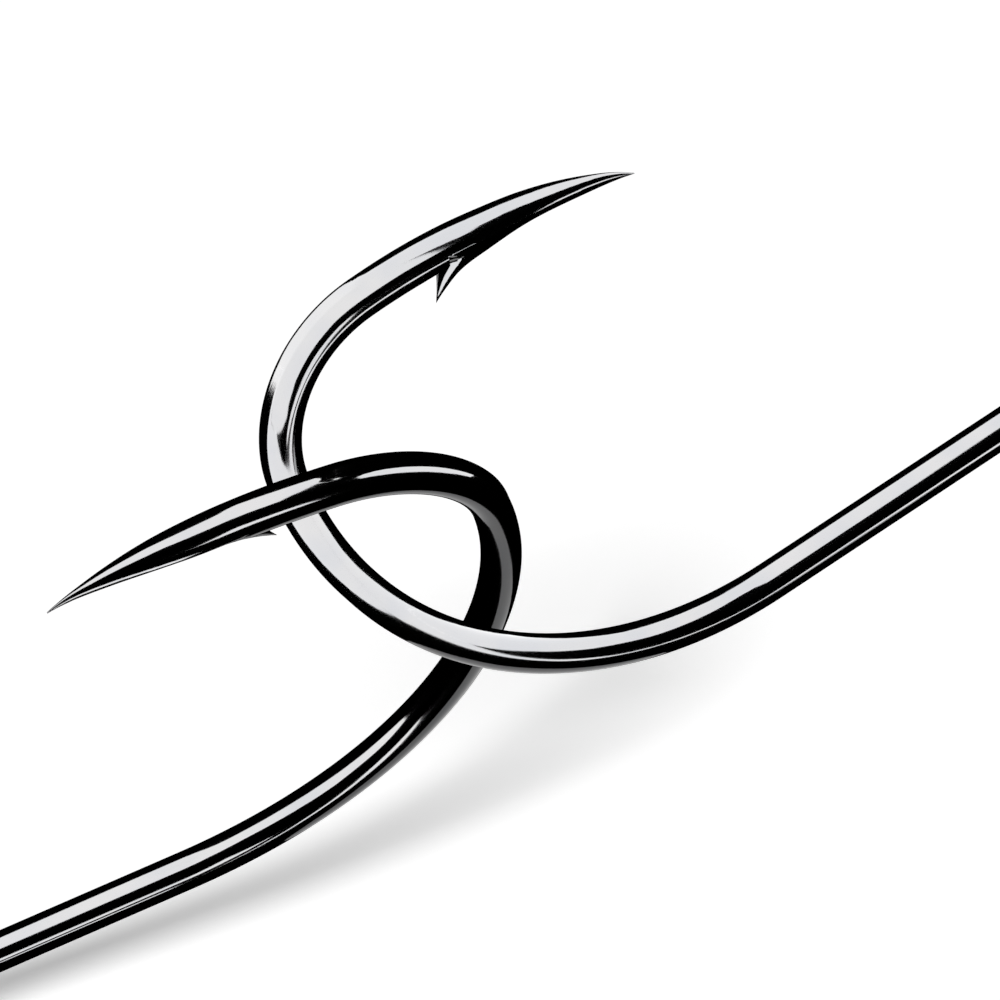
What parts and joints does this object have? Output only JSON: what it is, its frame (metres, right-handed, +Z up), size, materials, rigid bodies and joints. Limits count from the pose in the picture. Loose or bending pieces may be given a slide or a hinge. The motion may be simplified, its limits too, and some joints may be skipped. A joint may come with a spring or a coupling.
{
  "type": "pair of linked fish hooks",
  "caption": "Two identical barbed single fish hooks of round black-nickel wire, hooked through each other's bends, each with a ring eye, offset ground needle point and one cut barb",
  "frame": {"origin": "centre of the upper hook's line eye, by which the pair is held", "axes": "+Z up; the upper hook's shank climbs gently towards +X, so the pair lies along X with the lower hook's eye at -X; +Y away from the side of the upper hook's flat that the picture looks on"},
  "size_m": [0.0636, 0.0148, 0.0367],
  "materials": {
    "black_nickel": "black nickel plate on high-carbon steel wire, mirror bright"
  },
  "bodies": {
    "upper_hook": {"upper_hook": "black_nickel"},
    "lower_hook": {"lower_hook": "black_nickel"}
  },
  "joints": [
    {"name": "link_swing", "type": "hinge", "parent": "upper_hook", "child": "lower_hook", "pos_m": [-0.0368, 0.0052, 0.01067], "axis": [-0.044, 0.3097, 0.9498], "range_deg": [0, 320]}
  ]
}
